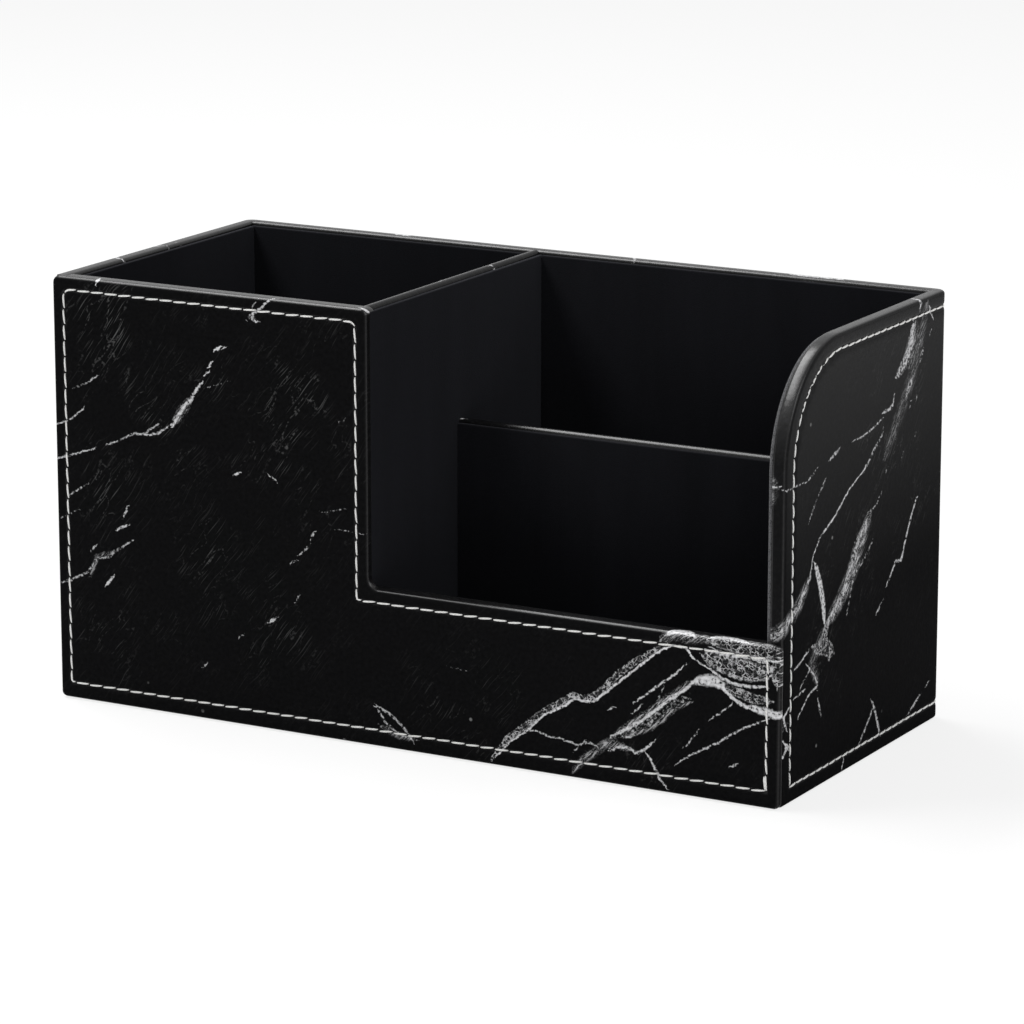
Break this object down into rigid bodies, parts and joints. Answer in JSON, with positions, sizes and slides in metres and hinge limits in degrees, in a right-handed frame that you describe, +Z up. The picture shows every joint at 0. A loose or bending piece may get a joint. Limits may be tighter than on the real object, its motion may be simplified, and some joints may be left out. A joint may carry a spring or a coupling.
{
  "type": "desk organizer box",
  "caption": "Free-standing desk organizer: leather-wrapped boards with a full-height pen cup and two pockets behind a low front, flannel-lined, with a swept right side and contrast stitching.",
  "frame": {"origin": "centre of the footprint on the table, under the base pad", "axes": "+X to the right seen from the front, +Y to the back, +Z up"},
  "size_m": [0.22, 0.1, 0.1185],
  "materials": {
    "board": "raw fibreboard",
    "card": "grey backing card",
    "leather": "semi-gloss black leather-look sheet, crinkle grain, white marble-vein print",
    "flannel": "short black nap",
    "thread": "white sewing thread",
    "felt": "black felt"
  },
  "bodies": {
    "root": {"front_board": "board", "back_board": "board", "left_board": "board", "right_board": "board", "partition_board": "board", "divider_board": "board", "base_board": "board", "front_backing": "card", "front_cover": "leather", "wrap_cover": "leather", "partition_cap": "leather", "divider_cap": "leather", "pen_cup_front_lining": "flannel", "pen_cup_back_lining": "flannel", "pen_cup_left_lining": "flannel", "pen_cup_right_lining": "flannel", "pen_cup_floor_lining": "flannel", "pocket_left_lining": "flannel", "pocket_right_lining": "flannel", "front_pocket_front_lining": "flannel", "front_pocket_floor_lining": "flannel", "divider_front_lining": "flannel", "divider_rear_lining": "flannel", "rear_pocket_back_lining": "flannel", "rear_pocket_floor_lining": "flannel", "front_stitching": "thread", "wrap_stitching": "thread", "base_pad": "felt"}
  },
  "joints": []
}
